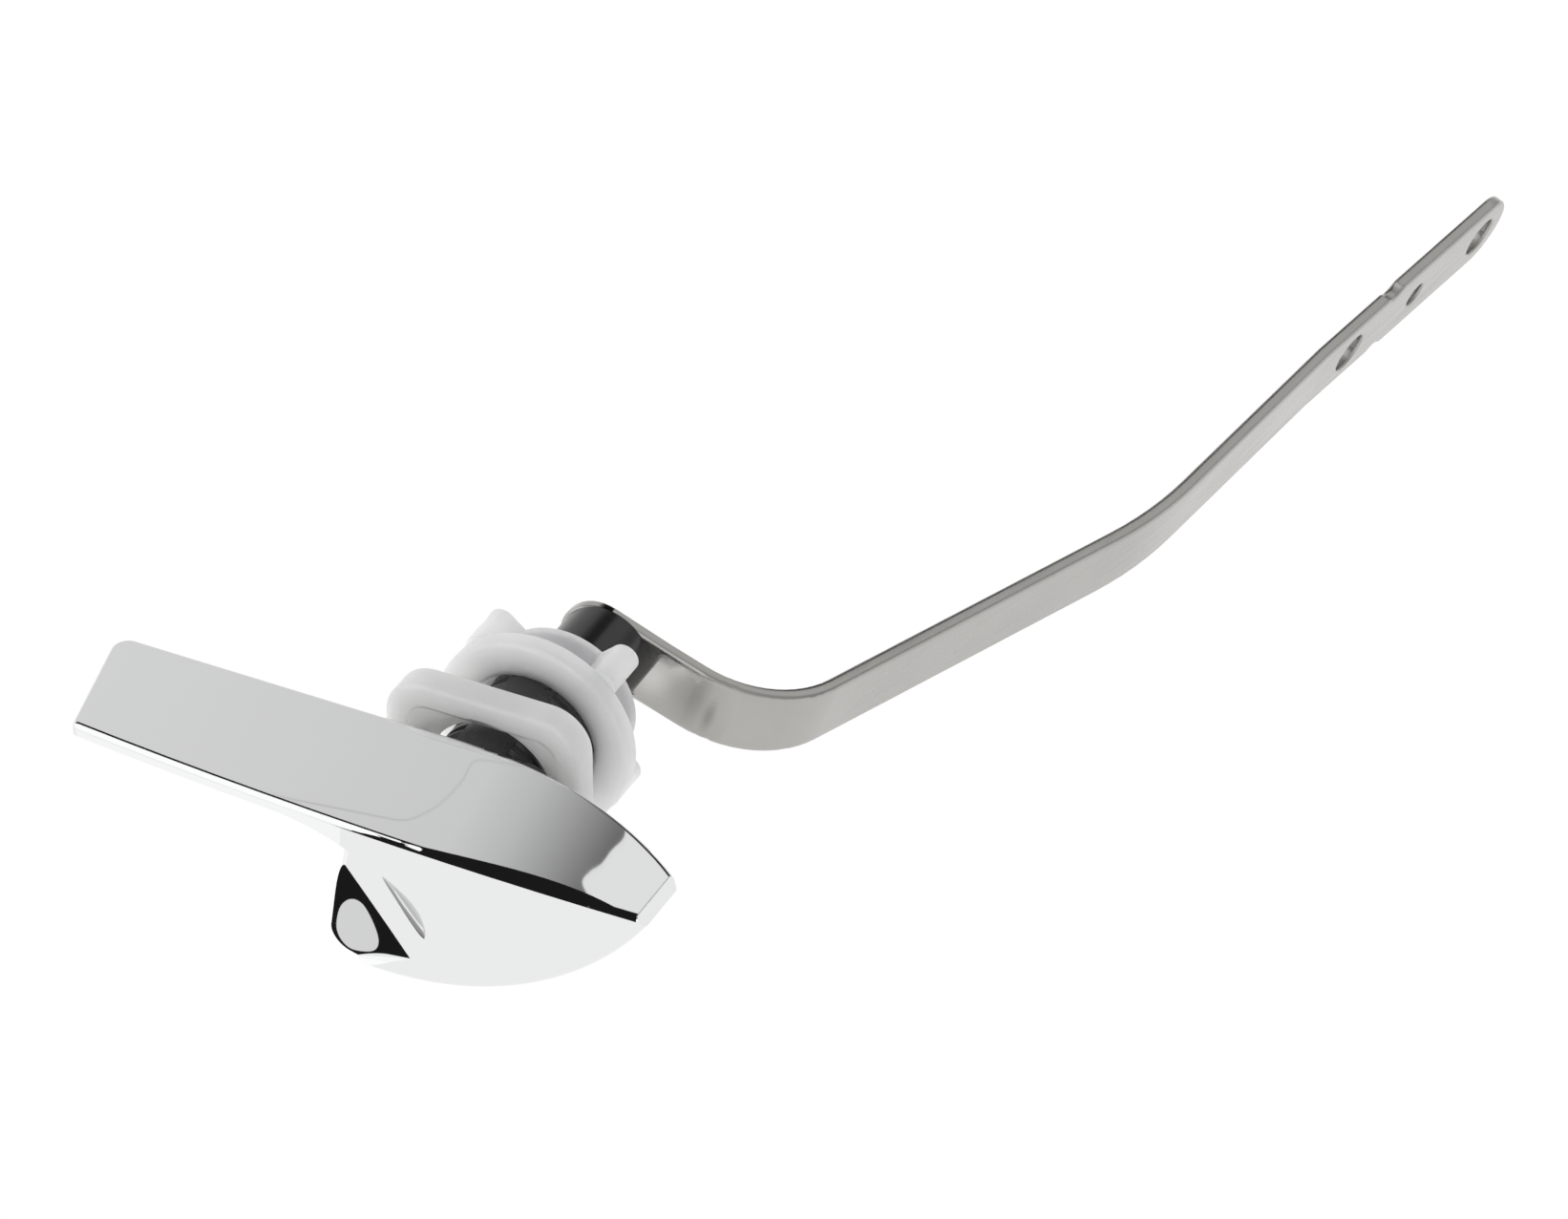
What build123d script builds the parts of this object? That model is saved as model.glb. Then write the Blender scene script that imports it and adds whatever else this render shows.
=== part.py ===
from build123d import *
import os
from math import cos, radians, sin, tan

# Cistern lever for a hole in the front wall of a tank, in millimetres.
# X runs to the right along the handle, Y runs back through the tank wall, Z is up.
# The origin is on the pivot axis, where the washer's rear face meets the outside of the tank wall.

os.makedirs("parts", exist_ok=True)

# Fits
running_gap = 0.08
slip_gap = 0.1
face_gap = 0.3
nut_thread_gap = 0.06

# Spindle and the shank it turns in
spindle_r = 6.8
shank_r = 8.6
shank_end = 21.5
shank_chamfer = 0.7
flange_width = 22.2
flange_height = 16.2
flange_corner = 3.0
flange_t = 1.7
flange_edge = 0.5
flange_setback = 4.9

# Square washer
washer_side = 29.6
washer_t = 4.2
washer_corner = 6.0
washer_hole_r = 9.45
washer_border = 3.5
washer_recess = 0.4
washer_recess_corner = 3.0
washer_countersink = 2.2
washer_edge = 0.7

# Mounting nut
wall_space = 9.7
nut_flange_r = 14.9
nut_flange_t = 3.4
nut_hub_r = 10.9
nut_length = 10.5
nut_mouth_r = 9.9
nut_mouth_depth = 2.4
nut_ear_count = 4
nut_ear_r = 15.4
nut_ear_tip_r = 2.1
nut_ear_root = 6.2
nut_ear_turn = 45.5
nut_edge = 0.8

# Handle outline in plan
handle_back = 7.0
handle_left_back = 54.9
handle_left_front = 50.4
handle_left_depth = 27.5
handle_left_back_r = 2.5
handle_left_front_r = 1.2
handle_front_bow = 1.4
handle_right_back = 38.8
handle_right_front = 38.7
handle_right_back_depth = 21.6
handle_right_depth = 31.1
handle_right_r = 1.5
handle_sweep_start = 2.0

# Handle outline in elevation
blade_top = 10.4
blade_t = 1.9
blade_edge = 0.8
gusset_start = 19.0
gusset_end = 5.0
gusset_depth = 4.8
hub_left_front = 8.2
hub_left_back = 13.2
hub_left_lean = 10.0
hub_bottom = 13.3
hub_keel = 3.0
hub_belly_r = 50.3
hub_corner_r = 3.0
hub_edge = 1.5

# End wall at the right, leaning out below the top
end_inset = 1.4
end_lean = 30.0

# Bevel along the front of the top, from the blade to the right corner, widest over the hub
bevel_tilt = 16.0
bevel_start = 4.0
bevel_mid = 10.0
bevel_mid_width = 1.3
bevel_peak = 28.0
bevel_peak_width = 1.9
bevel_end = 36.2
bevel_past = 3.0

# Thumb facet on the front of the hub: a shallow wedge between a ridge and a lip
facet_foot_x = 3.1
facet_foot_z = -8.8
facet_top_x = -5.6
facet_top_z = 4.6
facet_tilt = 13.0
facet_lip = 82.0
facet_lip_fall = 27.0
facet_past = 4.0
facet_reach = 24.0

# Casting core behind the right of the hub
core_wall = 2.6
core_left = 13.0
core_corner = 1.5

# Seats inside the hub
nose_depth = 3.3
tenon_side = 9.2
tenon_length = 8.0

# Turning stop between the shank's nose and the hub
lever_travel = 40.0
stop_width = 30.0
stop_place = 250.0
stop_slack = 1.0
stop_length = 2.2

# Lever arm, a bent flat strip
arm_front = 32.1
arm_t = 2.0
arm_width = 11.2
arm_tip_width = 12.0
arm_droop = 19.5
arm_head_r = 5.9
arm_head_offset = 1.4
arm_head_taper = 8.0
arm_key = 5.8
arm_first_run = 26.2
arm_first_bend = 72.3
arm_first_bend_r = 17.0
arm_second_run = 80.9
arm_second_bend = 12.6
arm_second_bend_r = 85.0
arm_third_run = 50.0
arm_third_bend = 1.8
arm_third_bend_r = 30.0
arm_near_hole = 9.5
arm_neck = 19.8
arm_mid_hole = 28.9
arm_tip_reach = 55.2
arm_far_hole = 6.7
arm_hole_r = 3.3
arm_mid_hole_r = 2.1
arm_neck_depth = 0.6
arm_neck_r = 3.0
arm_edge = 0.5
arm_rim_least = 1.1

# Retaining clip behind the shank
clip_t = 1.0
clip_r = 8.1
clip_groove_r = 5.8
clip_mouth = 70.0

# Screw that clamps arm, spindle and handle together
screw_r = 1.75
screw_head_r = 3.0
screw_head_t = 1.6
screw_length = 60.0
screw_head_round = 0.8
screw_cross_width = 0.8
screw_cross_length = 3.4
screw_cross_depth = 0.9
spring_washer_r = 3.7
spring_washer_t = 0.7
spring_washer_split = 0.6

# Places along the pivot axis
flange_back = -flange_setback
hub_floor = -handle_back - nose_depth
shank_front = hub_floor + face_gap
shank_bore_r = spindle_r + running_gap
nut_front = wall_space
nut_back = nut_front + nut_length
nut_bore_r = shank_r + nut_thread_gap
clip_front = shank_end + face_gap
arm_back = arm_front + arm_t
screw_seat = arm_back + spring_washer_t
screw_tip = screw_seat - screw_length
screw_hole_r = screw_r + slip_gap

# Directions of the lever arm: along its head, across its width, and back into the tank
arm_along = Vector(cos(radians(arm_droop)), 0, -sin(radians(arm_droop)))
arm_across = Vector(sin(radians(arm_droop)), 0, cos(radians(arm_droop)))
into_tank = Vector(0, 1, 0)


def facing_front(y):
    """A sketch plane across the pivot axis, with X to the right, Z up and its normal to the front."""
    return Plane((0, y, 0), x_dir=(1, 0, 0), z_dir=(0, -1, 0))


# Square washer: a rounded block, dished in front, with a countersunk hole
with BuildPart() as square_washer:
    with BuildSketch(facing_front(0)):
        RectangleRounded(washer_side, washer_side, washer_corner)
    extrude(amount=washer_t)
    fillet(square_washer.faces().sort_by(Axis.Y)[0].edges(), washer_edge)
    with BuildSketch(facing_front(-washer_t)):
        recess_side = washer_side - 2 * washer_border
        RectangleRounded(recess_side, recess_side, washer_recess_corner)
    extrude(amount=-washer_recess, mode=Mode.SUBTRACT)
    with BuildSketch(facing_front(-washer_t + washer_recess)):
        Circle(washer_hole_r + washer_countersink)
    extrude(amount=-washer_countersink, taper=45, mode=Mode.SUBTRACT)
    with BuildSketch(facing_front(0)):
        Circle(washer_hole_r)
    extrude(amount=washer_t, mode=Mode.SUBTRACT)
square_washer.part.label = "square_washer"
export_step(square_washer.part, "parts/square_washer.step")

# Threaded shank: a tube with a two-winged flange and a notched nose inside the hub
with BuildPart() as threaded_shank:
    with BuildSketch(facing_front(flange_back)):
        RectangleRounded(flange_width, flange_height, flange_corner)
    extrude(amount=flange_t)
    fillet(threaded_shank.faces().sort_by(Axis.Y)[-1].edges(), flange_edge)
    with BuildSketch(facing_front(shank_end)):
        Circle(shank_r)
    extrude(amount=shank_end - shank_front)
    chamfer(threaded_shank.faces().sort_by(Axis.Y)[-1].edges(), shank_chamfer)
    with BuildSketch(facing_front(shank_end)):
        Circle(shank_bore_r)
    extrude(amount=shank_end - shank_front, mode=Mode.SUBTRACT)
    notch_start = stop_place - stop_width / 2 - stop_slack
    notch_sweep = stop_width + lever_travel + 2 * stop_slack
    with BuildSketch(facing_front(shank_front)):
        with BuildLine():
            notch = CenterArc((0, 0), 2 * shank_r, notch_start, notch_sweep)
            Line((0, 0), notch @ 0)
            Line((0, 0), notch @ 1)
        make_face()
    extrude(amount=-stop_length, mode=Mode.SUBTRACT)
threaded_shank.part.label = "threaded_shank"
export_step(threaded_shank.part, "parts/threaded_shank.step")

# Mounting nut: a round flange, a hub behind it and gripping ears around the hub
with BuildSketch() as nut_ear:
    with BuildLine():
        ear_tip_x = nut_ear_r - nut_ear_tip_r
        ear_tip = ThreePointArc((ear_tip_x, -nut_ear_tip_r), (nut_ear_r, 0), (ear_tip_x, nut_ear_tip_r))
        Polyline(ear_tip @ 1, (0, nut_ear_root / 2), (0, -nut_ear_root / 2), ear_tip @ 0)
    make_face()
with BuildPart() as mounting_nut:
    with BuildSketch(facing_front(nut_front + nut_flange_t)):
        Circle(nut_flange_r)
    extrude(amount=nut_flange_t)
    fillet(mounting_nut.edges(), nut_edge)
    with BuildSketch(facing_front(nut_back)):
        Circle(nut_hub_r)
        with PolarLocations(0, nut_ear_count, start_angle=nut_ear_turn):
            add(nut_ear.sketch)
    extrude(amount=nut_length - nut_flange_t)
    with BuildSketch(facing_front(nut_back)):
        Circle(nut_bore_r)
    extrude(amount=nut_length, mode=Mode.SUBTRACT)
    with BuildSketch(facing_front(nut_front + nut_mouth_depth)):
        Circle(nut_mouth_r)
    extrude(amount=nut_mouth_depth, mode=Mode.SUBTRACT)
mounting_nut.part.label = "mounting_nut"
export_step(mounting_nut.part, "parts/mounting_nut.step")

# Handle: a flat press blade to the left and a boat-shaped hub below its right
with BuildSketch() as handle_plan:
    with BuildLine():
        back = Line((-handle_left_back, -handle_back), (-handle_sweep_start, -handle_back))
        sweep_arc = TangentArc(back @ 1, (handle_right_back, -handle_right_back_depth), tangent=(1, 0))
        right = Line(sweep_arc @ 1, (handle_right_front, -handle_right_depth))
        front = SagittaArc(right @ 1, (-handle_left_front, -handle_left_depth), handle_front_bow)
        left = Line(front @ 1, back @ 0)
    make_face()
    fillet(handle_plan.vertices().sort_by_distance(left @ 1)[0], handle_left_back_r)
    fillet(handle_plan.vertices().sort_by_distance(left @ 0)[0], handle_left_front_r)
    fillet(handle_plan.vertices().sort_by_distance(right @ 0)[0], handle_right_r)


def on_front(x, z):
    """The point of the handle's bowed front wall at this x and z."""
    reach = (front.radius**2 - (x - front.arc_center.X) ** 2) ** 0.5
    return Vector(x, front.arc_center.Y - reach, z)


belly_centre = hub_belly_r - hub_bottom
plan_reach = 2 * handle_left_back
with BuildPart() as blade:
    with BuildSketch():
        add(handle_plan.sketch)
    extrude(amount=blade_top)
    with BuildSketch(facing_front(0)):
        with BuildLine():
            underside = Line((-plan_reach, blade_top - blade_t), (-gusset_start, blade_top - blade_t))
            gusset = TangentArc(underside @ 1, (-gusset_end, blade_top - gusset_depth), tangent=(1, 0))
            Polyline(gusset @ 1, (-gusset_end, blade_top), (-plan_reach, blade_top), underside @ 0)
        make_face()
    extrude(amount=plan_reach, mode=Mode.INTERSECT)
with BuildPart() as bevel:
    bevel_widths = {
        -bevel_start: 0,
        bevel_mid: bevel_mid_width,
        bevel_peak: bevel_peak_width,
        bevel_end: 0,
    }
    for bevel_x, bevel_width in bevel_widths.items():
        bevel_edge = on_front(bevel_x, blade_top)
        bevel_front = bevel_edge.Y - bevel_past
        bevel_back = bevel_edge.Y + bevel_width
        bevel_drop = (bevel_width + bevel_past) * tan(radians(bevel_tilt))
        with BuildSketch(Plane((bevel_x, 0, 0), x_dir=(0, 1, 0), z_dir=(1, 0, 0))):
            Polygon(
                (bevel_back, blade_top),
                (bevel_front, blade_top - bevel_drop),
                (bevel_front, blade_top + bevel_past),
                (bevel_back, blade_top + bevel_past),
                align=None,
            )
    loft()
with BuildPart() as handle:
    with BuildSketch(Plane.XY.offset(-plan_reach)):
        add(handle_plan.sketch)
    extrude(amount=plan_reach + blade_top)
    with BuildSketch(facing_front(0)):
        with Locations((-hub_keel, belly_centre)):
            Circle(hub_belly_r)
    extrude(amount=plan_reach, mode=Mode.INTERSECT)
    wall_front = Vector(-hub_left_front, -handle_right_depth)
    wall_back = Vector(-hub_left_back, -handle_back)
    wall_past = (wall_back - wall_front).normalized() * handle_back
    with BuildSketch():
        Polygon(
            wall_front - wall_past,
            wall_back + wall_past,
            (-plan_reach, 0),
            (-plan_reach, -plan_reach),
            align=None,
        )
    lean = Vector(sin(radians(hub_left_lean)), 0, cos(radians(hub_left_lean)))
    extrude(amount=plan_reach, dir=lean, both=True, mode=Mode.SUBTRACT)
    low_edges = handle.edges().filter_by_position(Axis.Z, -hub_bottom, hub_corner_r - hub_bottom)
    keel_corner = low_edges.sort_by(Axis.X)[0]
    fillet(keel_corner, hub_corner_r)
    front_side = handle.faces().sort_by_distance((0, -handle_right_depth, 0))[0]
    front_rim = front_side.edges().filter_by(lambda e: (e @ 0.5).X < handle_right_front - handle_right_r)
    fillet(front_rim.filter_by(lambda e: (e @ 0.5).Z < blade_top - blade_t), hub_edge)
    facet_foot = on_front(facet_foot_x, facet_foot_z)
    facet_top = on_front(facet_top_x, facet_top_z)
    ridge = (facet_top - facet_foot).normalized()
    fall = ridge.cross(into_tank)
    facet_normal = fall * sin(radians(facet_tilt)) - into_tank * cos(radians(facet_tilt))
    with BuildSketch(Plane(facet_foot, x_dir=ridge, z_dir=facet_normal)):
        lip = Vector(cos(radians(facet_lip)), sin(radians(facet_lip)))
        lip_start = lip * -facet_past
        lip_end = lip * facet_reach
        ridge_past = Vector(facet_reach, 0)
        Polygon(lip_start, lip_start + ridge_past, lip_end + ridge_past, lip_end, align=None)
    lip_out = Vector(0, -cos(radians(facet_lip_fall)), -sin(radians(facet_lip_fall)))
    extrude(amount=facet_reach, dir=lip_out, mode=Mode.SUBTRACT)
    add(blade.part)
    fillet(handle.faces().sort_by(Axis.Z)[-1].edges(), blade_edge)
    add(bevel.part, mode=Mode.SUBTRACT)
    end_top = handle_right_back - end_inset
    end_drop = 2 * end_inset / tan(radians(end_lean))
    with BuildSketch(facing_front(0)):
        Polygon(
            (end_top, blade_top),
            (end_top + 2 * end_inset, blade_top - end_drop),
            (end_top + 2 * end_inset, blade_top),
            align=None,
        )
    extrude(amount=plan_reach, mode=Mode.SUBTRACT)
    with BuildSketch(facing_front(0)) as core:
        with BuildLine():
            core_top = blade_top - core_wall
            core_r = hub_belly_r - core_wall
            core_right = (core_r**2 - (belly_centre - core_top) ** 2) ** 0.5 - hub_keel
            core_floor = belly_centre - (core_r**2 - (core_left + hub_keel) ** 2) ** 0.5
            core_lines = Polyline((core_right, core_top), (core_left, core_top), (core_left, core_floor))
            RadiusArc(core_lines @ 1, core_lines @ 0, -core_r)
        make_face()
        fillet(core.vertices(), core_corner)
    extrude(amount=handle_right_depth - core_wall, mode=Mode.SUBTRACT)
    nose_bore_r = shank_r + face_gap
    with BuildSketch(facing_front(hub_floor)):
        Circle(nose_bore_r)
        with BuildLine(mode=Mode.PRIVATE) as stop_lines:
            stop_start = stop_place - stop_width / 2
            stop_arc = CenterArc((0, 0), 2 * shank_r, stop_start, stop_width)
            Line((0, 0), stop_arc @ 0)
            Line((0, 0), stop_arc @ 1)
        make_face(stop_lines.edges(), mode=Mode.SUBTRACT)
        Circle(spindle_r + face_gap)
    extrude(amount=-stop_length, mode=Mode.SUBTRACT)
    with BuildSketch(facing_front(hub_floor + stop_length)):
        Circle(nose_bore_r)
    extrude(amount=-nose_depth, mode=Mode.SUBTRACT)
    with BuildSketch(facing_front(hub_floor)):
        Rectangle(tenon_side + 2 * slip_gap, tenon_side + 2 * slip_gap)
    extrude(amount=tenon_length + face_gap, mode=Mode.SUBTRACT)
    with BuildSketch(facing_front(hub_floor)):
        Circle(screw_hole_r)
    extrude(amount=hub_floor - screw_tip + 2 * face_gap, mode=Mode.SUBTRACT)
handle.part.label = "handle"
export_step(handle.part, "parts/handle.step")

# Spindle: a round journal with a square tenon in the hub and a square key for the arm
with BuildPart() as spindle:
    with BuildSketch(facing_front(arm_front)):
        Circle(spindle_r)
    extrude(amount=arm_front - hub_floor)
    with BuildSketch(facing_front(hub_floor)):
        Rectangle(tenon_side, tenon_side)
    extrude(amount=tenon_length)
    with BuildSketch(facing_front(arm_front)):
        Rectangle(arm_key, arm_key, rotation=-arm_droop)
    extrude(amount=face_gap - arm_t)
    with BuildSketch(facing_front(clip_front + clip_t + slip_gap)):
        Circle(2 * spindle_r)
        Circle(clip_groove_r, mode=Mode.SUBTRACT)
    extrude(amount=clip_t + 2 * slip_gap, mode=Mode.SUBTRACT)
    with BuildSketch(facing_front(arm_back)):
        Circle(screw_hole_r)
    extrude(amount=arm_back - hub_floor + tenon_length, mode=Mode.SUBTRACT)
spindle.part.label = "spindle"
export_step(spindle.part, "parts/spindle.step")

# Retaining clip: an open ring in the spindle's groove, behind the end of the shank
with BuildPart() as retaining_clip:
    with BuildSketch(facing_front(clip_front + clip_t)):
        Circle(clip_r)
        Circle(clip_groove_r + slip_gap, mode=Mode.SUBTRACT)
        with BuildLine(mode=Mode.PRIVATE) as mouth_lines:
            mouth_arc = CenterArc((0, 0), 2 * clip_r, 270 - clip_mouth / 2, clip_mouth)
            Line((0, 0), mouth_arc @ 0)
            Line((0, 0), mouth_arc @ 1)
        make_face(mouth_lines.edges(), mode=Mode.SUBTRACT)
    extrude(amount=clip_t)
retaining_clip.part.label = "retaining_clip"
export_step(retaining_clip.part, "parts/retaining_clip.step")

# Lever arm: a flat strip with bends, with a round keyed head and a drilled tip
with BuildPart() as lever_arm:
    arm_side = Plane((0, arm_front, 0), x_dir=arm_along, z_dir=arm_across)
    run_turn = radians(arm_first_bend)
    rise_turn = radians(arm_first_bend + arm_second_bend)
    tip_turn = rise_turn - radians(arm_third_bend)
    corner_one = Vector(arm_first_run, 0)
    corner_two = corner_one + Vector(cos(run_turn), sin(run_turn)) * arm_second_run
    corner_three = corner_two + Vector(cos(rise_turn), sin(rise_turn)) * arm_third_run
    strip_end = corner_three + Vector(cos(tip_turn), sin(tip_turn)) * arm_neck
    with BuildSketch(arm_side):
        with BuildLine():
            front_line = FilletPolyline(
                (0, 0),
                corner_one,
                corner_two,
                corner_three,
                strip_end,
                radius=(arm_first_bend_r, arm_second_bend_r, arm_third_bend_r),
            )
            offset(front_line, arm_t, side=Side.LEFT)
        make_face()
    extrude(amount=arm_width / 2, both=True)
    with BuildSketch(Plane((0, arm_front, 0), x_dir=arm_along, z_dir=-into_tank)):
        with BuildSketch(mode=Mode.PRIVATE) as head_shape:
            with Locations((-arm_head_offset, 0)):
                Circle(arm_head_r)
            with Locations((arm_head_taper / 2, 0)):
                Rectangle(arm_head_taper, arm_width)
        add(head_shape.sketch)
        make_hull()
    extrude(amount=-arm_t)
    tip_along = arm_along * cos(tip_turn) + into_tank * sin(tip_turn)
    tip_out = arm_along * sin(tip_turn) - into_tank * cos(tip_turn)
    tip_face = Plane(arm_side.from_local_coords(corner_three), x_dir=tip_along, z_dir=tip_out)
    with BuildSketch(tip_face):
        tip_centre = arm_tip_reach - arm_tip_width / 2
        with Locations(((arm_neck + tip_centre) / 2, 0)):
            Rectangle(tip_centre - arm_neck, arm_tip_width)
        with Locations((tip_centre, 0)):
            Circle(arm_tip_width / 2)
    extrude(amount=-arm_t)
    with BuildSketch(tip_face):
        neck_side = arm_width / 2 + arm_neck_r - arm_neck_depth
        with Locations((arm_neck, neck_side), (arm_neck, -neck_side)):
            Circle(arm_neck_r)
    extrude(amount=-arm_t, mode=Mode.SUBTRACT)
    arm_rims = lever_arm.edges().filter_by(lambda e: e.geom_type != GeomType.LINE or e.length > arm_rim_least * arm_t)
    fillet(arm_rims, arm_edge)
    with BuildSketch(tip_face):
        with Locations((arm_near_hole, 0), (arm_tip_reach - arm_far_hole, 0)):
            Circle(arm_hole_r)
        with Locations((arm_mid_hole, 0)):
            Circle(arm_mid_hole_r)
    extrude(amount=-arm_t, mode=Mode.SUBTRACT)
    with BuildSketch(Plane((0, arm_front, 0), x_dir=arm_along, z_dir=-into_tank)):
        Rectangle(arm_key + 2 * slip_gap, arm_key + 2 * slip_gap)
    extrude(amount=-arm_t, mode=Mode.SUBTRACT)
lever_arm.part.label = "lever_arm"
export_step(lever_arm.part, "parts/lever_arm.step")

# Spring washer: a flat split ring under the screw head
with BuildPart() as spring_washer:
    with BuildSketch(facing_front(screw_seat)):
        Circle(spring_washer_r)
        Circle(screw_hole_r, mode=Mode.SUBTRACT)
        with Locations((0, spring_washer_r)):
            Rectangle(spring_washer_split, 2 * spring_washer_r, mode=Mode.SUBTRACT)
    extrude(amount=spring_washer_t)
spring_washer.part.label = "spring_washer"
export_step(spring_washer.part, "parts/spring_washer.step")

# Clamp screw: a pan head with a cross recess, through arm and spindle into the hub
with BuildPart() as clamp_screw:
    with BuildSketch(facing_front(screw_seat)):
        Circle(screw_head_r)
    extrude(amount=-screw_head_t)
    fillet(clamp_screw.faces().sort_by(Axis.Y)[-1].edges(), screw_head_round)
    with BuildSketch(facing_front(screw_seat)):
        Circle(screw_r)
    extrude(amount=screw_length)
    with BuildSketch(facing_front(screw_seat + screw_head_t)):
        Rectangle(screw_cross_length, screw_cross_width)
        Rectangle(screw_cross_width, screw_cross_length)
    extrude(amount=screw_cross_depth, mode=Mode.SUBTRACT)
clamp_screw.part.label = "clamp_screw"
export_step(clamp_screw.part, "parts/clamp_screw.step")
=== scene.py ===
import bmesh
import bpy
import math
from mathutils import Matrix, Vector


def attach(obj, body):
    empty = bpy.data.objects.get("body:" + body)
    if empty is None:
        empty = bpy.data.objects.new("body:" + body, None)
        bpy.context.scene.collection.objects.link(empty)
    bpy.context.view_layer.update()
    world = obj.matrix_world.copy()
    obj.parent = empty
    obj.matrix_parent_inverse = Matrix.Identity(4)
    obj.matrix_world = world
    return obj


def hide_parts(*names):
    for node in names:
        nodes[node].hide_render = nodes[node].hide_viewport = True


# Cistern lever: a chrome press handle, black bush, white washer and nut, and a bent steel arm.
# Lengths are in millimetres until a mesh, shader, card or camera is made, which is in metres.

MM = 0.001

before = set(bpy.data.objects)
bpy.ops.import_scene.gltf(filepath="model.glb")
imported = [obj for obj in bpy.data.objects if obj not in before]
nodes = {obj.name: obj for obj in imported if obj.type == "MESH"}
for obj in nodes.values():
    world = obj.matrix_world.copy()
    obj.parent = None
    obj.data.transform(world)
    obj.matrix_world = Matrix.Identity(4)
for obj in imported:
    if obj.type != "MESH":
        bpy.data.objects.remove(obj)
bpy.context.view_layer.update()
scene = bpy.context.scene

# Camera, as the photograph has it: a long lens above and to the right of the handle
VIEW_TURN = math.radians(26.5)
VIEW_RISE = math.radians(36.5)
VIEW_DISTANCE = 1298.7
PIXELS_PER_MM = 7.7
IMAGE_WIDTH = 1642
IMAGE_HEIGHT = 1277
AIM_POINT = Vector((0, -0.909, 0))
AIM_PIXEL = (516.85, 815.05)
SENSOR_WIDTH = 36.0

view_right = Vector((math.cos(VIEW_TURN), math.sin(VIEW_TURN), 0))
view_front = Vector((math.sin(VIEW_TURN), -math.cos(VIEW_TURN), 0))
view_back = view_front * math.cos(VIEW_RISE) + Vector((0, 0, math.sin(VIEW_RISE)))
view_up = view_back.cross(view_right)

camera_data = bpy.data.cameras.new("camera")
camera_data.sensor_width = SENSOR_WIDTH
camera_data.lens = VIEW_DISTANCE * PIXELS_PER_MM / IMAGE_WIDTH * SENSOR_WIDTH
camera = bpy.data.objects.new("camera", camera_data)
scene.collection.objects.link(camera)
aim = AIM_POINT
aim = aim + view_right * ((IMAGE_WIDTH / 2 - AIM_PIXEL[0]) / PIXELS_PER_MM)
aim = aim + view_up * ((AIM_PIXEL[1] - IMAGE_HEIGHT / 2) / PIXELS_PER_MM)
camera.location = (aim + view_back * VIEW_DISTANCE) * MM
camera.rotation_mode = "QUATERNION"
camera.rotation_quaternion = view_back.to_track_quat("Z", "Y")
scene.camera = camera
scene.view_settings.view_transform = "Standard"

# Shader helpers: where a Mix node has its two inputs and its output, and the usual span of a noise value
MIX_SOCKETS = {"RGBA": (6, 7, 2), "VECTOR": (4, 5, 1)}
NOISE_SPAN = (0.3, 0.7)
BEVEL_SAMPLES = 8


def new_material(name):
    """A material with one principled shader: (material, its node tree, the shader)."""
    made = bpy.data.materials.new(name)
    made.use_nodes = True
    tree = made.node_tree
    return made, tree, tree.nodes["Principled BSDF"]


def feed(tree, value, socket):
    """A socket given another node's output or a plain value."""
    if isinstance(value, bpy.types.NodeSocket):
        tree.links.new(value, socket)
    else:
        socket.default_value = value


def add_node(tree, kind, **sockets):
    """A shader node with its inputs fed by name."""
    node = tree.nodes.new(kind)
    for name, value in sockets.items():
        feed(tree, value, node.inputs[name])
    return node


def own_place(tree):
    """The place in the object's own frame, in metres."""
    return tree.nodes.new("ShaderNodeTexCoord").outputs["Object"]


def own_axis(tree, axis):
    """One coordinate of the place in the object's own frame."""
    return add_node(tree, "ShaderNodeSeparateXYZ", Vector=own_place(tree)).outputs[axis]


def noise(tree, scale, detail=2.0, stretch=(1, 1, 1), tilt=0.0):
    """Noise in the part's own frame, stretched along its axes after a tilt about Y."""
    turned = (0, tilt, 0)
    mapping = add_node(tree, "ShaderNodeMapping", Vector=own_place(tree), Rotation=turned, Scale=stretch)
    place = mapping.outputs["Vector"]
    return add_node(tree, "ShaderNodeTexNoise", Vector=place, Scale=scale, Detail=detail).outputs["Fac"]


def ranged(tree, value, source, target, smooth=False):
    """A value mapped from one span to another and held at its ends."""
    node = add_node(tree, "ShaderNodeMapRange", Value=value)
    if smooth:
        node.interpolation_type = "SMOOTHSTEP"
    for name, number in zip(("From Min", "From Max", "To Min", "To Max"), (*source, *target)):
        node.inputs[name].default_value = number
    return node.outputs["Result"]


def worked_out(tree, operation, first, second):
    """A sum, product or comparison of two values."""
    node = tree.nodes.new("ShaderNodeMath")
    node.operation = operation
    feed(tree, first, node.inputs[0])
    feed(tree, second, node.inputs[1])
    return node.outputs["Value"]


def against(tree, operation, place, vector):
    """The dot product of a place with a vector, or its distance from it."""
    node = tree.nodes.new("ShaderNodeVectorMath")
    node.operation = operation
    feed(tree, place, node.inputs[0])
    feed(tree, vector, node.inputs[1])
    return node.outputs["Value"]


def mixed(tree, kind, share, first, second):
    """Two colours or vectors mixed by a share from 0 to 1."""
    node = tree.nodes.new("ShaderNodeMix")
    node.data_type = kind
    first_socket, second_socket, result = MIX_SOCKETS[kind]
    feed(tree, share, node.inputs[0])
    feed(tree, first, node.inputs[first_socket])
    feed(tree, second, node.inputs[second_socket])
    return node.outputs[result]


def rounded_edges(tree, radius):
    """The surface normal with its sharp edges rounded to this radius in millimetres."""
    node = add_node(tree, "ShaderNodeBevel", Radius=radius * MM)
    node.samples = BEVEL_SAMPLES
    return node.outputs["Normal"]


def colour(tree, shader, value, dark, light):
    """The shader's colour varied between two colours by a noise value."""
    feed(tree, mixed(tree, "RGBA", value, (*dark, 1), (*light, 1)), shader.inputs["Base Color"])


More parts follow.
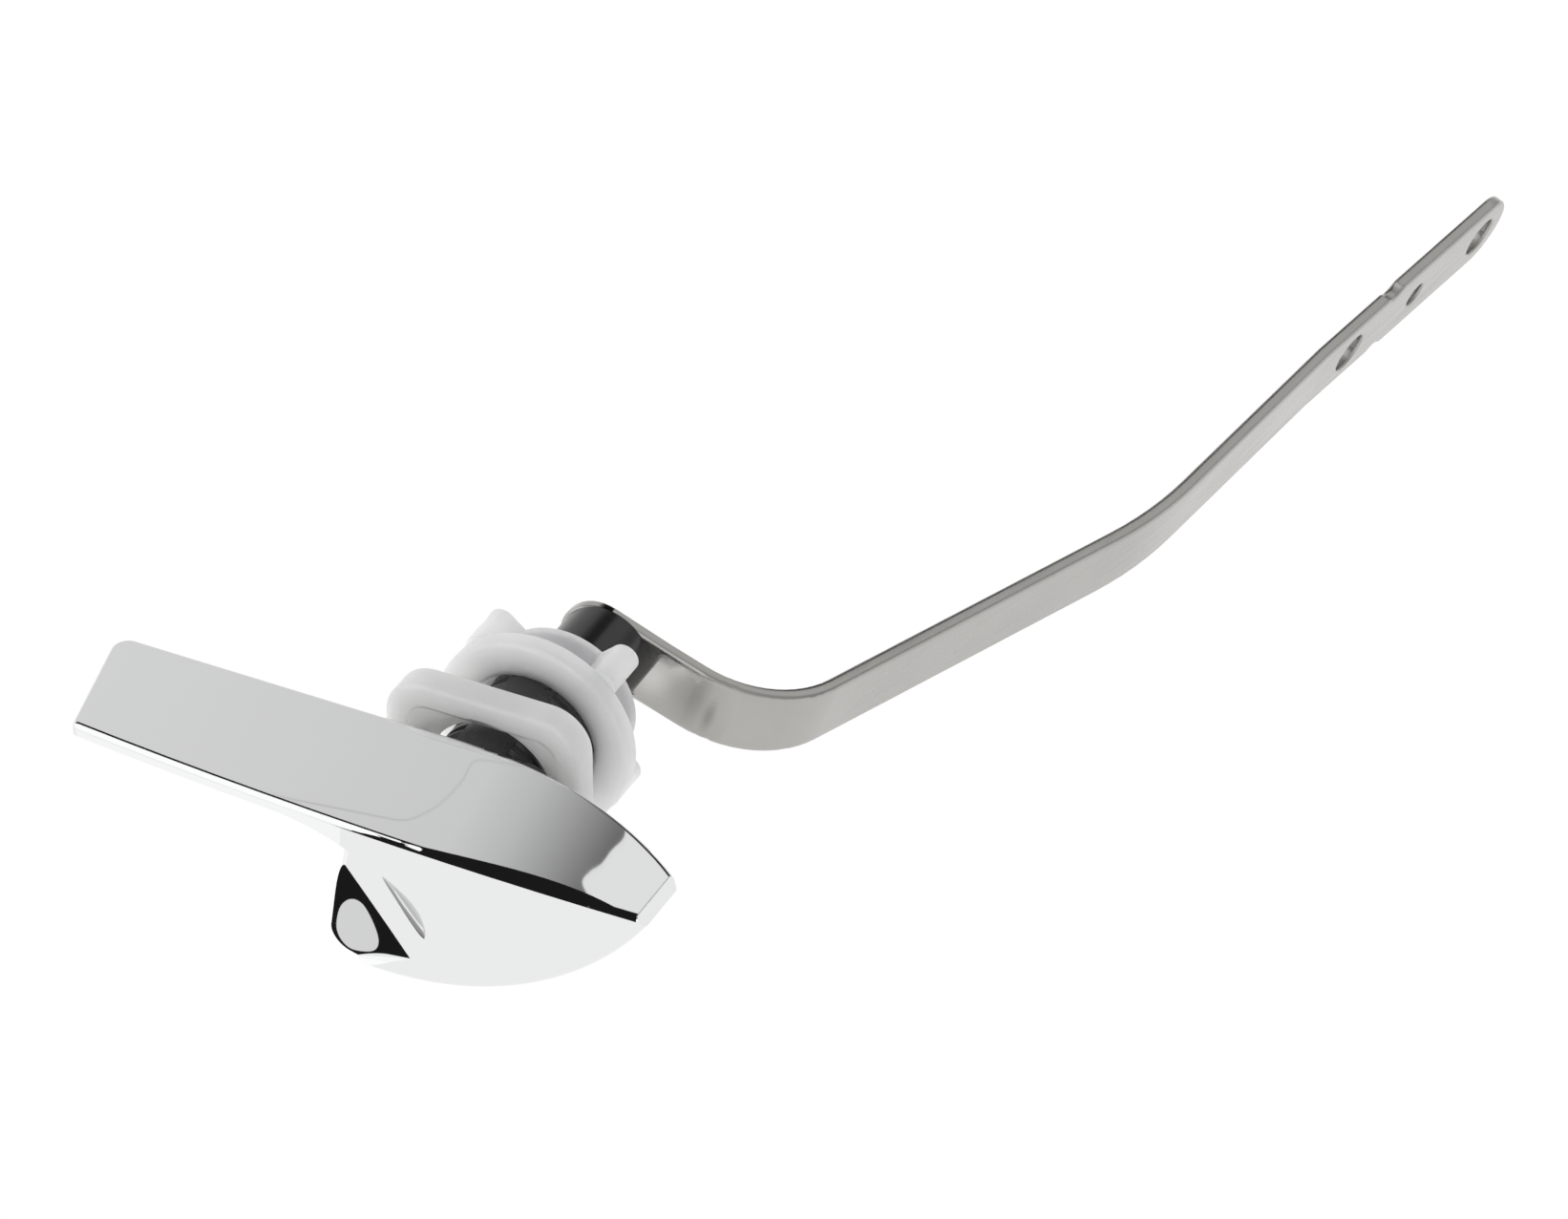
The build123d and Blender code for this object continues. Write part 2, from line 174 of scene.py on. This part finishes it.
def grain_normal(tree, value, strength, height, **sockets):
    """A bump normal from a noise value, its height in millimetres."""
    node = add_node(tree, "ShaderNodeBump", Height=value, Strength=strength, Distance=height * MM, **sockets)
    return node.outputs["Normal"]


# Chrome: a mirror with faint unevenness, the sharp edges of its top worn round by polishing
CHROME_COLOURS = ((0.805, 0.808, 0.81), (0.82, 0.823, 0.825))
CHROME_ROUGHNESS = (0.008, 0.018)
CHROME_CLOUD_SCALE = 60.0
CHROME_EDGE = 0.2
CHROME_EDGE_LEVEL = 10.2

chrome, tree, shader = new_material("chrome_plate")
shader.inputs["Metallic"].default_value = 1.0
cloud = noise(tree, CHROME_CLOUD_SCALE, detail=3.0)
colour(tree, shader, cloud, *CHROME_COLOURS)
feed(tree, ranged(tree, cloud, NOISE_SPAN, CHROME_ROUGHNESS), shader.inputs["Roughness"])
plain = tree.nodes.new("ShaderNodeNewGeometry").outputs["Normal"]
on_top = worked_out(tree, "GREATER_THAN", own_axis(tree, "Z"), CHROME_EDGE_LEVEL * MM)
feed(tree, mixed(tree, "VECTOR", on_top, plain, rounded_edges(tree, CHROME_EDGE)), shader.inputs["Normal"])

# Satin steel strip, rolled along its length, with rounded edges and brighter round its head
STRIP_COLOURS = ((0.385, 0.376, 0.358), (0.465, 0.456, 0.438))
STRIP_ROUGHNESS = (0.2, 0.33)
STRIP_EDGE = 0.8
STRIP_TILT = math.radians(19.5)
STRIP_GRAIN = (120, 45, 2600)
STRIP_GRAIN_STRENGTH = 0.06
STRIP_GRAIN_HEIGHT = 0.1
STRIP_SMEAR_SCALE = 55.0
HEAD_END = 36.0
SATIN_START = 52.0
HEAD_ROUGHNESS_SHARE = 0.25

steel, tree, shader = new_material("satin_steel_strip")
shader.inputs["Metallic"].default_value = 1.0
colour(tree, shader, noise(tree, STRIP_SMEAR_SCALE, detail=4.0), *STRIP_COLOURS)
grain = noise(tree, 1.0, detail=3.0, stretch=STRIP_GRAIN, tilt=STRIP_TILT)
satin = ranged(tree, grain, NOISE_SPAN, STRIP_ROUGHNESS)
head_span = (HEAD_END * MM, SATIN_START * MM)
dulling = ranged(tree, own_axis(tree, "Y"), head_span, (HEAD_ROUGHNESS_SHARE, 1.0), smooth=True)
feed(tree, worked_out(tree, "MULTIPLY", satin, dulling), shader.inputs["Roughness"])
rounded = rounded_edges(tree, STRIP_EDGE)
raised = grain_normal(tree, grain, STRIP_GRAIN_STRENGTH, STRIP_GRAIN_HEIGHT, Normal=rounded)
feed(tree, raised, shader.inputs["Normal"])


def grained(name, colours, roughness, scale, detail=3.0):
    """A material whose colour and roughness vary with a fine grain: (material, its node tree, the shader)."""
    made, tree, shader = new_material(name)
    grain = noise(tree, scale, detail=detail)
    colour(tree, shader, grain, *colours)
    feed(tree, ranged(tree, grain, NOISE_SPAN, roughness), shader.inputs["Roughness"])
    return made, tree, shader


# Spring steel for the clip, the split washer and the screw
SPRING_COLOURS = ((0.45, 0.45, 0.44), (0.55, 0.55, 0.54))
SPRING_ROUGHNESS = (0.22, 0.38)
SPRING_GRAIN_SCALE = 900.0
spring, tree, shader = grained("spring_steel_plain", SPRING_COLOURS, SPRING_ROUGHNESS, SPRING_GRAIN_SCALE)
shader.inputs["Metallic"].default_value = 1.0

# Black moulded plastic, smooth on the spindle and duller on the shank
BLACK_GRAIN_SCALE = 500.0
SMOOTH_COLOURS = ((0.014, 0.014, 0.015), (0.02, 0.02, 0.021))
SMOOTH_ROUGHNESS = (0.18, 0.28)
DULL_COLOURS = ((0.03, 0.03, 0.031), (0.04, 0.04, 0.041))
DULL_ROUGHNESS = (0.25, 0.38)
black = grained("black_gloss_plastic", SMOOTH_COLOURS, SMOOTH_ROUGHNESS, BLACK_GRAIN_SCALE)[0]
dull = grained("black_dull_plastic", DULL_COLOURS, DULL_ROUGHNESS, BLACK_GRAIN_SCALE)[0]

# White moulded plastic that lets some light through, greyer in the washer than in the nut: both are one
# plastic, and the washer's darker grey is painted shade of the handle in front of it
WASHER_PAINTED_SHADE_LEVELS = (0.64, 0.66)
NUT_LEVELS = (0.95, 0.97)
WHITE_ROUGHNESS = (0.28, 0.42)
WHITE_GRAIN_SCALE = 300.0
LIGHT_DEPTH = 20.0
LIGHT_COLOUR = (1.0, 1.0, 0.95)
WHITE_BUMP_SCALE = 1400.0
WHITE_BUMP_STRENGTH = 0.04
WHITE_BUMP_HEIGHT = 0.1


def white_plastic(name, levels):
    """A translucent white between two grey levels."""
    colours = [(level, level, level) for level in levels]
    made, tree, shader = grained(name, colours, WHITE_ROUGHNESS, WHITE_GRAIN_SCALE, detail=4.0)
    shader.inputs["Subsurface Weight"].default_value = 1.0
    shader.inputs["Subsurface Radius"].default_value = LIGHT_COLOUR
    shader.inputs["Subsurface Scale"].default_value = LIGHT_DEPTH * MM
    fine = noise(tree, WHITE_BUMP_SCALE)
    feed(tree, grain_normal(tree, fine, WHITE_BUMP_STRENGTH, WHITE_BUMP_HEIGHT), shader.inputs["Normal"])
    return made


# Painted shade: the washer's copy of the white plastic is set darker to stand in for the shade the handle
# casts on it
washer_white_painted_shade = white_plastic("white_plastic_washer_painted_shade", WASHER_PAINTED_SHADE_LEVELS)
nut_white = white_plastic("white_plastic_nut", NUT_LEVELS)

node_materials = {
    "handle": chrome,
    "lever_arm": steel,
    "square_washer": washer_white_painted_shade,
    "mounting_nut": nut_white,
    "threaded_shank": dull,
    "spindle": black,
    "retaining_clip": spring,
    "spring_washer": spring,
    "clamp_screw": spring,
}
for name, material in node_materials.items():
    for slot in nodes[name].material_slots:
        slot.material = material

# Shank: the CAD form with a thread cut between its flange and its chamfered end
SHANK_R = 8.6
THREAD_START = -4.9
THREAD_END = 20.8
THREAD_PITCH = 2.0
THREAD_DEPTH = 0.5
THREAD_CREST = 0.25
THREAD_RUNOUT = 1.2
THREAD_ROWS = 200
THREAD_STEPS = 96
CAD_NEAR = 0.02
SHARP_ANGLE = math.radians(35)


def ease(value):
    """A smooth step from 0 to 1."""
    value = min(max(value, 0.0), 1.0)
    return value * value * (3 - 2 * value)


def thread_radius(y, part_turn):
    """The shank's radius at this place along it and around it."""
    wave = abs((y / THREAD_PITCH - part_turn) % 1.0 - 0.5) * 2
    groove = ease((wave - THREAD_CREST) / (1 - 2 * THREAD_CREST))
    fade = ease((y - THREAD_START) / THREAD_RUNOUT) * ease((THREAD_END - y) / THREAD_RUNOUT)
    return SHANK_R - THREAD_DEPTH * groove * fade


def on_barrel(face):
    """True for the CAD faces that the thread takes the place of."""
    spots = [corner.co / MM for corner in face.verts]
    round_off = max(abs(math.hypot(spot.x, spot.z) - SHANK_R) for spot in spots)
    lowest = min(spot.y for spot in spots)
    highest = max(spot.y for spot in spots)
    return round_off < CAD_NEAR and lowest > THREAD_START - CAD_NEAR and highest < THREAD_END + CAD_NEAR


shank_node = nodes["threaded_shank"]
shank = bmesh.new()
shank.from_mesh(shank_node.data)
shank.transform(shank_node.matrix_world)
bmesh.ops.delete(shank, geom=[face for face in shank.faces if on_barrel(face)], context="FACES")
rings = []
for row in range(THREAD_ROWS + 1):
    y = THREAD_START + (THREAD_END - THREAD_START) * row / THREAD_ROWS
    ring = []
    for step in range(THREAD_STEPS):
        angle = 2 * math.pi * step / THREAD_STEPS
        radius = thread_radius(y, step / THREAD_STEPS)
        ring.append(shank.verts.new(Vector((radius * math.cos(angle), y, radius * math.sin(angle))) * MM))
    rings.append(ring)
for low, high in zip(rings, rings[1:]):
    for step in range(THREAD_STEPS):
        after = (step + 1) % THREAD_STEPS
        shank.faces.new((low[step], high[step], high[after], low[after]))
shank_mesh = bpy.data.meshes.new("shank_with_thread")
shank.to_mesh(shank_mesh)
shank.free()
shank_mesh.shade_smooth()
shank_mesh.set_sharp_from_angle(angle=SHARP_ANGLE)
shank_mesh.materials.clear()
shank_mesh.materials.append(dull)
shank_piece = bpy.data.objects.new("shank_with_thread", shank_mesh)
scene.collection.objects.link(shank_piece)
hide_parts("threaded_shank")
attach(shank_piece, "bush")

# Floor: a light table, bright enough to leave no shadow
FLOOR_HALF = 3000.0
FLOOR_LEVEL = -160.0
FLOOR_GLOW = 0.4
FLOOR_COLOURS = ((0.84, 0.84, 0.84), (0.86, 0.86, 0.86))
FLOOR_ROUGHNESS = 0.9
FLOOR_GRAIN_SCALE = 40.0


def flat_mesh(name, outline):
    """A flat polygon from points in millimetres."""
    mesh = bpy.data.meshes.new(name)
    mesh.from_pydata([(x * MM, y * MM, 0) for x, y in outline], [], [tuple(range(len(outline)))])
    return mesh


def frame_of(left, right, low, high):
    """The outline of an upright rectangle."""
    return [(left, low), (right, low), (right, high), (left, high)]


floor_mesh = flat_mesh("floor", frame_of(-FLOOR_HALF, FLOOR_HALF, -FLOOR_HALF, FLOOR_HALF))
floor = bpy.data.objects.new("floor", floor_mesh)
floor.location = (0, 0, FLOOR_LEVEL * MM)
scene.collection.objects.link(floor)
paper, tree, shader = new_material("pale_floor")
colour(tree, shader, noise(tree, FLOOR_GRAIN_SCALE), *FLOOR_COLOURS)
shader.inputs["Roughness"].default_value = FLOOR_ROUGHNESS
shader.inputs["Specular IOR Level"].default_value = 0.0
shader.inputs["Emission Color"].default_value = (1, 1, 1, 1)
shader.inputs["Emission Strength"].default_value = FLOOR_GLOW
floor_mesh.materials.append(paper)

# Soft light from all round, stronger from the left, from in front and from below
SKY_MIDDLE = 0.84
SKY_SIDE = (-0.3, -0.2, -0.17)
world = bpy.data.worlds.new("studio")
scene.world = world
world.use_nodes = True
tree = world.node_tree
sky = tree.nodes["Background"]
sky.inputs["Color"].default_value = (1, 1, 1, 1)
heading = tree.nodes.new("ShaderNodeTexCoord").outputs["Generated"]
side = against(tree, "DOT_PRODUCT", heading, SKY_SIDE)
feed(tree, worked_out(tree, "ADD", side, SKY_MIDDLE), sky.inputs["Strength"])


def glow(name, strength):
    """A plain glowing card material: (material, its node tree, the emission node)."""
    made = bpy.data.materials.new(name)
    made.use_nodes = True
    tree = made.node_tree
    tree.nodes.clear()
    light = add_node(tree, "ShaderNodeEmission", Strength=strength)
    add_node(tree, "ShaderNodeOutputMaterial", Surface=light.outputs["Emission"])
    made.cycles.emission_sampling = "NONE"
    return made, tree, light


# Studio cards: black flags and panels from dark to bright, each of one level
CARD_LEVELS = {
    "flag_black": 0.012,
    "panel_rim": 0.2,
    "panel_deep": 0.36,
    "panel_seam": 0.56,
    "panel_streak": 0.6,
    "panel_shade": 0.72,
    "panel_mid": 0.78,
    "panel_bright": 0.89,
    "panel_clear": 0.98,
    "panel_white": 1.12,
    "panel_key": 1.2,
}
card_finishes = {name: glow(name, level)[0] for name, level in CARD_LEVELS.items()}

# The panel behind the handle darkens to the right: (millimetres along its slant, level)
GREY_SLANT = (1, 0.6, 0)
GREY_LEVELS = [(-80, 0.78), (-30, 0.74), (10, 0.70), (22, 0.57), (31, 0.41), (37, 0.29), (44, 0.15)]
card_finishes["panel_grey"], tree, light = glow("panel_grey", 1.0)
first, last = GREY_LEVELS[0][0], GREY_LEVELS[-1][0]
along = against(tree, "DOT_PRODUCT", own_place(tree), GREY_SLANT)
ramp = add_node(tree, "ShaderNodeValToRGB", Fac=ranged(tree, along, (first * MM, last * MM), (0.0, 1.0)))
stops = ramp.color_ramp.elements
while len(stops) < len(GREY_LEVELS):
    stops.new(0.5)
for stop, (spot, level) in zip(stops, GREY_LEVELS):
    stop.position = (spot - first) / (last - first)
    stop.color = (level, level, level, 1)
feed(tree, ramp.outputs["Color"], light.inputs["Color"])

# The panel by the arm's head is cloudy, (centre, radius, amount) of each soft spot, and rises to its left
HEAD_SIDES = (-18, 5, -14, 6)
HEAD_LEVEL = 0.92
HEAD_SPOTS = [
    ((2.4, 1.2), 4.0, 0.4),
    ((-1.6, 3.0), 3.0, 0.3),
    ((-4.5, -2.2), 6.0, -0.3),
    ((-8.9, -7.2), 3.2, -0.3),
]
HEAD_RISE = 0.12
HEAD_RISE_WIDTH = 10.0
card_finishes["panel_cloudy"], tree, light = glow("panel_cloudy", HEAD_LEVEL)
rise_span = (HEAD_SIDES[0] * MM, (HEAD_SIDES[0] + HEAD_RISE_WIDTH) * MM)
rise = ranged(tree, own_axis(tree, "X"), rise_span, (HEAD_RISE, 0.0), smooth=True)
level = worked_out(tree, "ADD", rise, HEAD_LEVEL)
for (across, upward), radius, amount in HEAD_SPOTS:
    gap = against(tree, "DISTANCE", own_place(tree), (across * MM, upward * MM, 0))
    fade = ranged(tree, gap, (0.0, radius * MM), (amount, 0.0), smooth=True)
    level = worked_out(tree, "ADD", fade, level)
feed(tree, level, light.inputs["Strength"])


def card(name, start, facing, distance, outline, finish):
    """A card that shows only in reflections, square to a ray from start, its outline across and up it."""
    facing = Vector(facing).normalized()
    across = facing.cross(Vector((0, 0, 1))).normalized()
    upward = across.cross(facing)
    mesh = flat_mesh(name, outline)
    mesh.materials.append(card_finishes[finish])
    made = bpy.data.objects.new(name, mesh)
    place = Matrix((across, upward, -facing)).transposed().to_4x4()
    place.translation = (Vector(start) + facing * distance) * MM
    made.matrix_world = place
    scene.collection.objects.link(made)
    made.visible_camera = False
    made.visible_diffuse = False
    made.visible_transmission = False
    made.visible_volume_scatter = False
    made.visible_shadow = False


def curve_through(points, closed, steps=8):
    """A smooth line through the points."""
    count = len(points)
    line = []
    for k in range(count if closed else count - 1):
        ends = [k - 1, k, k + 1, k + 2]
        picked = [e % count if closed else min(max(e, 0), count - 1) for e in ends]
        a, b, c, d = (Vector(points[e]) for e in picked)
        for step in range(steps):
            t = step / steps
            spot = b * 2 + (c - a) * t + (a * 2 - b * 5 + c * 4 - d) * t**2 + (b * 3 - a - c * 3 + d) * t**3
            line.append(tuple(spot / 2))
    if not closed:
        line.append(tuple(points[-1]))
    return line


def ribbon(points, width):
    """The outline of a strip of this width along a line of points."""
    left, right = [], []
    for k, spot in enumerate(points):
        ahead = Vector(points[min(k + 1, len(points) - 1)]) - Vector(points[max(k - 1, 0)])
        offset = Vector((-ahead.y, ahead.x)).normalized() * (width / 2)
        left.append(tuple(Vector(spot) + offset))
        right.append(tuple(Vector(spot) - offset))
    return left + right[::-1]


# Where the handle's top, front edge, thumb facet and front wall mirror their cards
TOP_POINT = (0, -19, 10.4)
TOP_RAY = (-0.3866, 0.6921, 0.6095)
TOP_DISTANCE = 600.0
TOP_STEP = 2.0
EDGE_POINT = (18, -31, 10)
EDGE_DISTANCE = 200.0
FACET_POINT = (-5.0, -29.77, -6.14)
FACET_RAY = (-0.5832, -0.3213, -0.7461)
FACET_DISTANCE = 100.0
WALL_POINT = (2.52, -30.99, -0.18)
WALL_RAY = (-0.4238, -0.6611, -0.6191)
WALL_DISTANCE = 80.0
NEAR_STEP = 0.2
SEAM_WIDTH = 0.3

# Plain cards: name, the point and ray that it is square to, distance, (left, right, low, high), finish
plain_cards = [
    # behind and above, mirrored by the handle's top
    ("panel_back", TOP_POINT, TOP_RAY, TOP_DISTANCE, (-400, 110, -330, 60), "panel_grey"),
    ("flag_above", TOP_POINT, TOP_RAY, TOP_DISTANCE, (-700, 280, 60, 440), "flag_black"),
    ("flag_right", TOP_POINT, TOP_RAY, TOP_DISTANCE, (110, 280, -330, 60), "flag_black"),
    # in front, mirrored by its rounded front edge
    ("panel_front", TOP_POINT, (-0.4, -0.55, 0.73), 700, (-700, 700, -420, 560), "panel_key"),
    ("panel_level", (-25, -30, 10), (-0.47, -0.883, 0.0), 700, (-400, 400, -390, 220), "panel_key"),
    # below the front wall of the blade
    ("panel_blade", (-28, -29.5, 9), (-0.505, -0.61, -0.6), 100, (-24, 34, -14, 13), "panel_white"),
    # below and to the left, mirrored by the thumb facet and by the lip under it
    ("flag_facet", FACET_POINT, FACET_RAY, FACET_DISTANCE, (-16, 16, -16, 16), "flag_black"),
    ("panel_lip", (-2.5, -30.5, -11.6), (-0.932, 0.213, 0.293), 20, (-8, 8, -8, 8), "panel_key"),
    # behind and to the right, low, mirrored by the end wall
    ("panel_low", (38, -26, 9), (0.717, 0.697, 0.004), 500, (-160, 160, -110, 60), "panel_clear"),
    # behind and above the arm, for its upper edge, and to its right, for the rounded rim
    ("panel_arm", (40, 130, -10), (0.095, 0.72, 0.688), 900, (-350, 450, -300, 300), "panel_mid"),
    ("panel_rim_side", (40, 130, -15), (0.79, 0.61, -0.04), 700, (-300, 300, -200, 200), "panel_bright"),
    # close to the arm's head
    ("panel_head", (10, 32.1, -3), (-0.368, -0.71, -0.6), 15, HEAD_SIDES, "panel_cloudy"),
]
for name, start, facing, distance, sides, finish in plain_cards:
    card(name, start, facing, distance, frame_of(*sides), finish)

# Past the end of the grey panel: a bright one with a wavy left side
end_side = curve_through([
    (38.5, 8.3), (37.9, 10.6), (35.5, 12.9), (33.5, 15.4), (31.3, 16.8), (29.6, 18.9), (30.8, 22.0),
], closed=False)
end_outline = end_side + [(34, 40), (70, 40), (70, 2), (44, 2)]
card("panel_end", TOP_POINT, TOP_RAY, TOP_DISTANCE - TOP_STEP, end_outline, "panel_bright")

# The seam of the grey panel, which shows as a thin curved line on the top
seam_line = curve_through([
    (-34.0, -0.6), (-18.7, 2.9), (-9.6, 5.0), (-6.0, 5.7), (-2.8, 5.3),
    (2.3, 2.6), (6.5, -1.6), (8.4, -4.7), (10.7, -5.6), (19.1, -4.0),
], closed=False)
card("panel_seam", TOP_POINT, TOP_RAY, TOP_DISTANCE - TOP_STEP, ribbon(seam_line, SEAM_WIDTH), "panel_seam")

# In front of the rounded edge over the hub: a black flag with a curved side, and a second one above it
edge_side = curve_through([
    (96.0, 272.0), (56.0, 164.4), (39.0, 94.0), (31.5, 32.3), (32.0, -17.5), (43.0, -82.9), (64.0, -147.2),
], closed=False)
edge_outline = edge_side + [(39.5, -146), (13.7, -150), (-40, -162), (-40, 272)]
crest_side = curve_through([(-108.2, -58.8), (-60.6, -34.0), (-12.3, -14.6), (80.0, 6.0)], closed=False)
crest_outline = crest_side + [(75, 60), (-28, 38), (-140, -5)]
card("flag_edge", EDGE_POINT, (-0.4, -0.915, 0.02), EDGE_DISTANCE, edge_outline, "flag_black")
card("flag_crest", EDGE_POINT, (-0.42, -0.1, 0.9), EDGE_DISTANCE, crest_outline, "flag_black")

# On the black flag of the thumb facet: a pale spot
spot_outline = curve_through([
    (0.7, 3.5), (-0.9, 2.3), (-1.7, -1.1), (-1.6, -3.7), (-0.3, -4.6), (2.6, -3.3), (3.7, -0.4), (2.5, 2.6),
], closed=True)
card("panel_spot", FACET_POINT, FACET_RAY, FACET_DISTANCE - NEAR_STEP, spot_outline, "panel_mid")

# In front and below, mirrored by the front wall: a slim grey flag in layers, its middle pale and its rim dark
wall_layers = [
    ("flag_wall", "panel_shade", [
        (3.5, 4.4), (1.7, 3.1), (-0.8, 1.0), (-2.6, -1.3), (-3.4, -3.5),
        (-3.0, -4.5), (-1.7, -3.1), (0.6, 0.0), (2.6, 2.8),
    ]),
    ("wall_streak", "panel_streak", [
        (1.6, 2.9), (-1.0, 0.2), (-2.9, -2.5), (-2.7, -2.5), (-1.7, -1.5), (0.8, 1.5),
    ]),
    ("wall_light", "panel_clear", [
        (1.6, 2.5), (-0.2, 0.3), (-2.3, -2.3), (-3.0, -3.0), (-3.0, -3.4), (-1.1, -1.3), (1.1, 1.5),
    ]),
    ("wall_deep", "panel_deep", [
        (3.5, 4.3), (2.2, 2.8), (0.2, 0.3), (-3.0, -3.6), (-3.0, -4.5), (-1.7, -3.1), (0.6, 0.0), (2.6, 2.8),
    ]),
    ("wall_rim", "panel_rim", [
        (2.6, 2.8), (0.6, 0.1), (-1.7, -2.8), (-3.1, -4.3), (-3.0, -4.5), (-1.7, -3.1), (0.6, 0.0),
    ]),
]
for layer, (name, finish, points) in enumerate(wall_layers):
    outline = curve_through(points, closed=True)
    card(name, WALL_POINT, WALL_RAY, WALL_DISTANCE - layer * NEAR_STEP, outline, finish)
